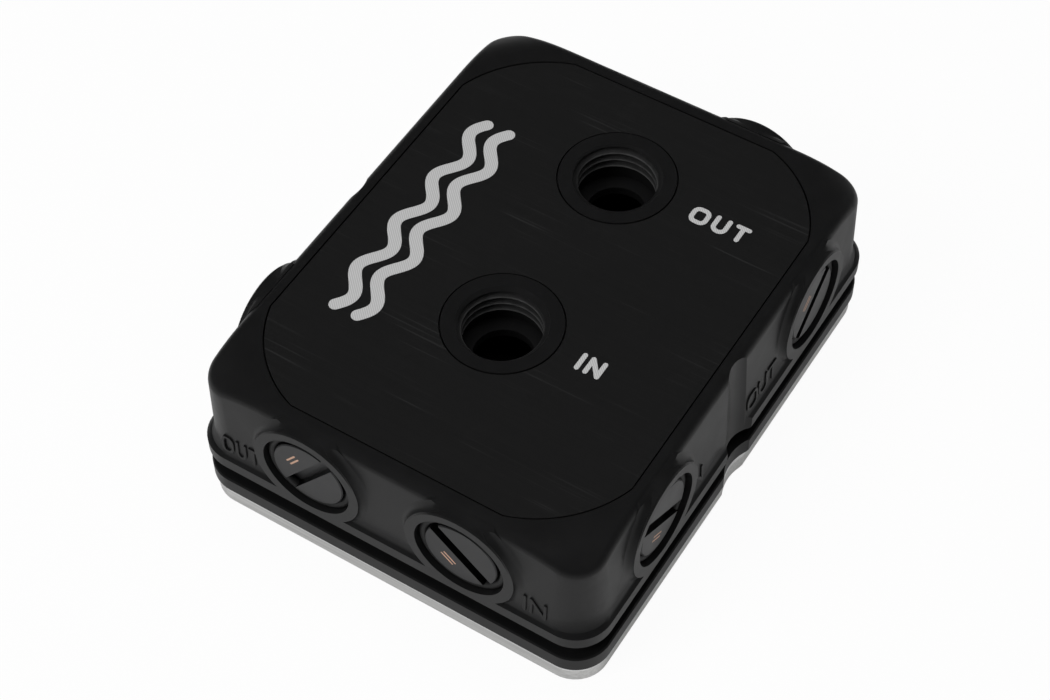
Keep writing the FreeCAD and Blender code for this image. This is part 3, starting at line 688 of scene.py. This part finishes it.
def panel_material():
    """Black anodised brushed aluminium."""
    colours = bpy.context.scene.cold_plate_finish
    return new_material("Black anodised aluminium", brushed_group(),
                        {"Roughness": 0.4, "Streaks": 4200.0, "Contrast": 0.1, "Scratches": 1.1},
                        colours.panel, specular=0.3, bump=0.08)


def silver_material():
    """Satin silver inlay with fine diagonal hatching."""
    colours = bpy.context.scene.cold_plate_finish
    return new_material("Satin silver inlay", hatch_group(), {"Spacing": 1500.0, "Contrast": 0.12},
                        colours.silver, specular=0.4, roughness=0.42, bump=0.1)


def nickel_material():
    """Nickel plating, ground along the plate, with a painted highlight under its upper edge."""
    colours = bpy.context.scene.cold_plate_finish
    material = new_material("Nickel plating", brushed_group(),
                            {"Roughness": 0.34, "Streaks": 2600.0, "Contrast": 0.14}, colours.nickel,
                            metallic=1.0, bump=0.12)
    where = next(node for node in material.node_tree.nodes if node.type == "TEX_COORD")
    # Painted highlight: lighter grey from just under the plate's upper edge up to its top
    line = height_above(material.node_tree, where, 0.0, 1.0, EDGE_HIGHLIGHT_FROM, EDGE_HIGHLIGHT_TO)
    add_painted_highlight(material, EDGE_HIGHLIGHT_GREY, line)
    return material


def plug_material():
    """Black nickel on turned brass, with a satin face."""
    colours = bpy.context.scene.cold_plate_finish
    return new_material("Black nickel", grain_group(),
                        {"Roughness": 0.42, "Grain": 7000.0, "Mottle": 0.06}, colours.plug,
                        metallic=1.0, bump=0.06)


def rubber_material():
    """Black sealing rubber."""
    colours = bpy.context.scene.cold_plate_finish
    return new_material("Sealing rubber", grain_group(),
                        {"Roughness": 0.6, "Grain": 6000.0, "Mottle": 0.1}, colours.rubber,
                        specular=0.3, bump=0.1)


def mark_material():
    """Pale printed mark on the plugs."""
    return new_material("Pale print", hatch_group(), {"Spacing": 1500.0, "Contrast": 0.05},
                        MARK_COLOUR, specular=0.3, roughness=0.5, bump=0.02)


def inner_material(name, colour, metallic, roughness):
    """Plain finish for what sits inside or below: screws, brass inserts, flow plate, adhesive film."""
    return new_material(name, grain_group(), {"Roughness": roughness, "Grain": 6000.0, "Mottle": 0.08},
                        colour, metallic=metallic, bump=0.05)


def dress_node(name, material):
    """Give a CAD node its material."""
    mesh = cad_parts[name].data
    mesh.materials.clear()
    mesh.materials.append(material)


# ---- Operators ----------------------------------------------------------------------------------


class OBJECT_OT_cold_plate_housing(bpy.types.Operator):
    """Smooth skin of the moulded housing"""

    bl_idname = "object.cold_plate_housing"
    bl_label = "Housing"

    def execute(self, context):
        piece = smooth_copy("housing", "housing_skin", plastic_material())
        return {"FINISHED"}


class OBJECT_OT_cold_plate_threads(bpy.types.Operator):
    """Pipe threads in the two top ports"""

    bl_idname = "object.cold_plate_threads"
    bl_label = "Port threads"

    def execute(self, context):
        sizes = context.scene.cold_plate_threads
        for name, x, y, crest_height in TOP_PORTS:
            points, faces, worn = thread_ring(x, y, HOUSING_TOP - THREAD_DROP, crest_height, sizes)
            piece = new_piece(f"port_thread_{name}", points, faces, thread_material(), 50.0)
            # Painted highlight on the thread, stored on its points for its material
            highlight_layer = piece.data.attributes.new("worn", "FLOAT", "POINT")
            highlight_layer.data.foreach_set("value", worn)
            close_and_turn_out(piece)
        return {"FINISHED"}


class OBJECT_OT_cold_plate_seals(bpy.types.Operator):
    """Round rubber rings round the side plugs"""

    bl_idname = "object.cold_plate_seals"
    bl_label = "Plug seals"

    def execute(self, context):
        for name, turn, _, _ in SIDE_PLUGS:
            low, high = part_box(f"plug_seal_{name}")
            size = high - low
            across = max(size.x, size.y)
            thick = min(size.x, size.y)
            points, faces = torus(across / 2 - thick / 2, thick / 2)
            points = turn_about_z(points, turn) + np.array((low + high) / 2)
            piece = new_piece(f"o_ring_{name}", points, faces, rubber_material(), 180.0)
            close_and_turn_out(piece)
            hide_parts(f"plug_seal_{name}")
        return {"FINISHED"}


class OBJECT_OT_cold_plate_top_letters(bpy.types.Operator):
    """Silver IN and OUT beside the top ports"""

    bl_idname = "object.cold_plate_top_letters"
    bl_label = "Top lettering"

    def execute(self, context):
        sizes = context.scene.cold_plate_lettering
        for word, x, y in TOP_WORDS:
            strokes = word_strokes(word, sizes.top_height, sizes.top_stroke, TOP_LETTER_GAP)
            points, faces = raised_strokes(strokes, sizes.top_stroke, flat_place(x, y), TOP - SINK,
                                           TOP + sizes.inlay_raise, INLAY_ROUND * sizes.inlay_raise)
            piece = new_piece(f"top_label_{word.lower()}", points, faces, silver_material(), 30.0)
            close_and_turn_out(piece)
        return {"FINISHED"}


class OBJECT_OT_cold_plate_strip(bpy.types.Operator):
    """Silver wave lines inlaid along the left of the panel"""

    bl_idname = "object.cold_plate_strip"
    bl_label = "Inlaid waves"

    def execute(self, context):
        sizes = context.scene.cold_plate_lettering
        y = np.linspace(-WAVE_HALF_LENGTH, WAVE_HALF_LENGTH, 160)
        swings = WAVE_SWING * np.sin(2 * math.pi * y / WAVE_LENGTH)
        strokes = [(np.stack([middle + swings, y], -1), False) for middle in WAVE_MIDDLES]
        points, faces = raised_strokes(strokes, WAVE_WIDTH, flat_place(0, 0), TOP - SINK,
                                       TOP + sizes.inlay_raise, INLAY_ROUND * sizes.inlay_raise)
        piece = new_piece("inlaid_waves", points, faces, silver_material(), 30.0)
        close_and_turn_out(piece)
        return {"FINISHED"}


class OBJECT_OT_cold_plate_wall_letters(bpy.types.Operator):
    """Moulded IN and OUT on the walls"""

    bl_idname = "object.cold_plate_wall_letters"
    bl_label = "Wall lettering"

    def execute(self, context):
        sizes = context.scene.cold_plate_lettering
        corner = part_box("housing")[1]
        for name, word, turn, start, narrow, gap in WALL_WORDS:
            side = (corner.x if turn in (0, 180) else corner.y) - WALL_INSET
            strokes = word_strokes(word, sizes.wall_height, sizes.wall_stroke, gap * MM, narrow)
            place = wall_place(turn, side, start * MM)
            points, faces = raised_strokes(strokes, sizes.wall_stroke, place, -SINK, sizes.wall_raise,
                                           WALL_ROUND * sizes.wall_raise)
            piece = new_piece(f"wall_label_{name}", points, faces, plastic_material(), 30.0)
            close_and_turn_out(piece)
        return {"FINISHED"}


class OBJECT_OT_cold_plate_plug_marks(bpy.types.Operator):
    """Pale double bars printed beside the plugs' slots"""

    bl_idname = "object.cold_plate_plug_marks"
    bl_label = "Plug marks"

    def execute(self, context):
        for name, turn, place, slot_angle in SIDE_PLUGS:
            low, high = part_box(f"plug_{name}")
            face = {0: high.x, 180: -low.x, 90: high.y, -90: -low.y}[turn]
            angle = math.radians(slot_angle)
            along = np.array([math.cos(angle), math.sin(angle)])
            square = np.array([-along[1], along[0]])
            if square[0] > 0:
                square = -square
            length = np.linspace(-BAR_HALF_LENGTH, BAR_HALF_LENGTH, 8)[:, None]
            strokes = [(square * offset + length * along, False) for offset in BAR_OFFSETS]
            put = face_place(turn, place, (low.z + high.z) / 2)
            points, faces = raised_strokes(strokes, BAR_WIDTH, put, face - BAR_SINK, face + BAR_RELIEF,
                                           BAR_ROUND)
            piece = new_piece(f"plug_mark_{name}", points, faces, mark_material(), 30.0)
            close_and_turn_out(piece)
        return {"FINISHED"}


class OBJECT_OT_cold_plate_finishes(bpy.types.Operator):
    """Finishes of the parts that keep their built shape"""

    bl_idname = "object.cold_plate_finishes"
    bl_label = "Finishes"

    def execute(self, context):
        dress_node("top_panel", panel_material())
        dress_node("base_plate", nickel_material())
        for plug in SIDE_PLUGS:
            dress_node(f"plug_{plug[0]}", plug_material())
        dress_node("main_seal", rubber_material())
        dress_node("flow_plate", inner_material("Stainless sheet", (0.5, 0.5, 0.5), 1.0, 0.35))
        dress_node("panel_adhesive", inner_material("Adhesive film", (0.02, 0.02, 0.02), 0.0, 0.6))
        dress_node("base_screws", inner_material("Stainless screws", (0.42, 0.42, 0.43), 1.0, 0.32))
        dress_node("screw_inserts", inner_material("Turned brass", (0.6, 0.42, 0.16), 1.0, 0.35))
        return {"FINISHED"}


class OBJECT_OT_cold_plate_stage(bpy.types.Operator):
    """Pale floor, soft light, plain surroundings and camera"""

    bl_idname = "object.cold_plate_stage"
    bl_label = "Studio"

    def execute(self, context):
        settings = context.scene.cold_plate_stage
        make_floor()
        make_tent(settings.tent)
        make_world(context.scene, settings.room)
        aim = Vector(settings.aim)
        for name, offset, size, power in LAMPS:
            add_light(name, aim + Vector(offset), aim, getattr(settings, power), size)
        make_camera(context.scene, settings)
        context.scene.view_settings.view_transform = "Standard"
        return {"FINISHED"}


def stage_piece(name, points, faces):
    """Object of the stage from points and faces, without a material yet."""
    mesh = bpy.data.meshes.new(name)
    mesh.from_pydata(points.tolist(), [], faces)
    piece = bpy.data.objects.new(name, mesh)
    bpy.context.scene.collection.objects.link(piece)
    return piece


def mix_shaders(tree, share, first, second, end):
    """Feed an output node with a mix of two shaders, where a share of 1 is all the second."""
    mix = tree.nodes.new("ShaderNodeMixShader")
    tree.links.new(share, mix.inputs["Fac"])
    tree.links.new(first.outputs[0], mix.inputs[1])
    tree.links.new(second.outputs[0], mix.inputs[2])
    tree.links.new(mix.outputs[0], end.inputs["Surface"])


def make_floor():
    """Pale floor disc: radius times (cos t, sin t), on which the camera sees mostly plain white."""
    turn = np.linspace(0, 2 * math.pi, 96, endpoint=False)
    points = np.stack([FLOOR_RADIUS * np.cos(turn), FLOOR_RADIUS * np.sin(turn),
                       np.full_like(turn, -FLOOR_DROP)], -1)
    floor = stage_piece("floor", points, [list(range(96))])
    material = bpy.data.materials.new("Pale floor")
    material.use_nodes = True
    tree = material.node_tree
    tree.nodes.clear()
    end = tree.nodes.new("ShaderNodeOutputMaterial")
    matt = tree.nodes.new("ShaderNodeBsdfDiffuse")
    matt.inputs["Color"].default_value = (FLOOR_GREY, FLOOR_GREY, FLOOR_GREY, 1)
    glow = tree.nodes.new("ShaderNodeEmission")
    glow.inputs["Color"].default_value = (1, 1, 1, 1)
    path = tree.nodes.new("ShaderNodeLightPath")
    faint = math_node(tree, "MULTIPLY", mirrored(tree, path), FLOOR_MIRRORED)
    share = math_node(tree, "MULTIPLY_ADD", path.outputs["Is Camera Ray"], FLOOR_SEEN, faint)
    mix_shaders(tree, share, matt, glow, end)
    floor.data.materials.append(material)


def make_tent(brightness):
    """Dark matt tent over the object, which keeps tops and hollows dark in the reflections.

    Rings of points on a sphere: radius times (cos e cos t, cos e sin t, sin e), for t round the
    circle and e from just above the horizon nearly to the top, closed there by one face. Its matt
    colour is lighter low down than overhead."""
    around = 96
    turn = np.linspace(0, 2 * math.pi, around, endpoint=False)
    rise = np.radians(np.linspace(4, 88, 17))
    ee, tt = np.meshgrid(rise, turn, indexing="ij")
    points = TENT_RADIUS * np.stack([np.cos(ee) * np.cos(tt), np.cos(ee) * np.sin(tt), np.sin(ee)], -1)
    faces = ring_faces(len(rise), around)[:-around].tolist()
    faces.append(list(range((len(rise) - 1) * around, len(rise) * around)))
    tent = stage_piece("tent", points.reshape(-1, 3), faces)
    tent.visible_camera = False
    material = bpy.data.materials.new("Dark tent")
    material.use_nodes = True
    tree = material.node_tree
    shader = next(node for node in tree.nodes if node.type == "BSDF_PRINCIPLED")
    where = tree.nodes.new("ShaderNodeTexCoord")
    fade = height_above(tree, where, TENT_LOW_SHARE * brightness, TENT_HIGH_SHARE * brightness,
                        TENT_LOW, TENT_HIGH)
    tree.links.new(fade, shader.inputs["Base Color"])
    shader.inputs["Roughness"].default_value = 1.0
    shader.inputs["Specular IOR Level"].default_value = 0.0
    tent.data.materials.append(material)


def mirrored(tree, path):
    """1 for glossy and transmission rays, which metal and glass show."""
    return math_node(tree, "MAXIMUM", path.outputs["Is Glossy Ray"], path.outputs["Is Transmission Ray"])


def make_world(scene, strength):
    """White surroundings for the eye and for mirrors, soft even room light for the object."""
    world = bpy.data.worlds.new("Studio")
    scene.world = world
    world.use_nodes = True
    tree = world.node_tree
    tree.nodes.clear()
    end = tree.nodes.new("ShaderNodeOutputWorld")
    room, white = (tree.nodes.new("ShaderNodeBackground") for _ in range(2))
    for light, level in ((room, strength), (white, 1.0)):
        light.inputs["Color"].default_value = (1, 1, 1, 1)
        light.inputs["Strength"].default_value = level
    path = tree.nodes.new("ShaderNodeLightPath")
    seen = math_node(tree, "MAXIMUM", path.outputs["Is Camera Ray"], mirrored(tree, path))
    mix_shaders(tree, seen, room, white, end)


def add_light(name, place, aim, power, size):
    """Square soft light aimed at a point."""
    data = bpy.data.lights.new(name, "AREA")
    data.energy = power
    data.size = size
    light = bpy.data.objects.new(name, data)
    light.visible_glossy = False
    bpy.context.scene.collection.objects.link(light)
    light.location = place
    light.rotation_euler = (aim - place).to_track_quat("-Z", "Y").to_euler()


def make_camera(scene, settings):
    """Camera on a sphere round the aim point, rolled a little about its view direction."""
    aim = Vector(settings.aim)
    out = Vector((math.sin(settings.azimuth) * math.cos(settings.elevation),
                  -math.cos(settings.azimuth) * math.cos(settings.elevation),
                  math.sin(settings.elevation)))
    right = Vector((0, 0, 1)).cross(out).normalized()
    up = out.cross(right)
    c, s = math.cos(settings.roll), math.sin(settings.roll)
    rolled_right = right * c + up * s
    rolled_up = up * c - right * s
    data = bpy.data.cameras.new("Camera")
    data.sensor_width = 36.0
    data.sensor_fit = "HORIZONTAL"
    data.lens = settings.lens
    data.clip_start = 0.01
    camera = bpy.data.objects.new("Camera", data)
    scene.collection.objects.link(camera)
    turn = Matrix((rolled_right, rolled_up, out)).transposed().to_4x4()
    camera.matrix_world = Matrix.Translation(aim + out * settings.distance) @ turn
    scene.camera = camera


class VIEW3D_PT_cold_plate(bpy.types.Panel):
    """Lists the pieces and their sizes"""

    bl_label = "Cold Plate"
    bl_idname = "VIEW3D_PT_cold_plate"
    bl_space_type = "VIEW_3D"
    bl_region_type = "UI"
    bl_category = "Cold Plate"

    def draw(self, context):
        for operator in OPERATORS:
            self.layout.operator(operator.bl_idname)
        for name in SETTINGS:
            settings = getattr(context.scene, name)
            box = self.layout.box()
            for label in settings.__annotations__:
                box.prop(settings, label)


OPERATORS = (
    OBJECT_OT_cold_plate_housing,
    OBJECT_OT_cold_plate_threads,
    OBJECT_OT_cold_plate_seals,
    OBJECT_OT_cold_plate_top_letters,
    OBJECT_OT_cold_plate_strip,
    OBJECT_OT_cold_plate_wall_letters,
    OBJECT_OT_cold_plate_plug_marks,
    OBJECT_OT_cold_plate_finishes,
    OBJECT_OT_cold_plate_stage,
)
SETTINGS = {
    "cold_plate_threads": ColdPlateThreads,
    "cold_plate_lettering": ColdPlateLettering,
    "cold_plate_finish": ColdPlateFinish,
    "cold_plate_stage": ColdPlateStage,
}


def register():
    """Register the settings, operators and panel."""
    for name, settings in SETTINGS.items():
        bpy.utils.register_class(settings)
        setattr(bpy.types.Scene, name, PointerProperty(type=settings))
    for operator in OPERATORS:
        bpy.utils.register_class(operator)
    bpy.utils.register_class(VIEW3D_PT_cold_plate)


def unregister():
    """Take the settings, operators and panel out again."""
    bpy.utils.unregister_class(VIEW3D_PT_cold_plate)
    for operator in reversed(OPERATORS):
        bpy.utils.unregister_class(operator)
    for name, settings in SETTINGS.items():
        delattr(bpy.types.Scene, name)
        bpy.utils.unregister_class(settings)


def main():
    """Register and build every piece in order."""
    register()
    bpy.ops.object.cold_plate_housing()
    bpy.ops.object.cold_plate_threads()
    bpy.ops.object.cold_plate_seals()
    bpy.ops.object.cold_plate_top_letters()
    bpy.ops.object.cold_plate_strip()
    bpy.ops.object.cold_plate_wall_letters()
    bpy.ops.object.cold_plate_plug_marks()
    bpy.ops.object.cold_plate_finishes()
    bpy.ops.object.cold_plate_stage()


if __name__ == "__main__":
    main()
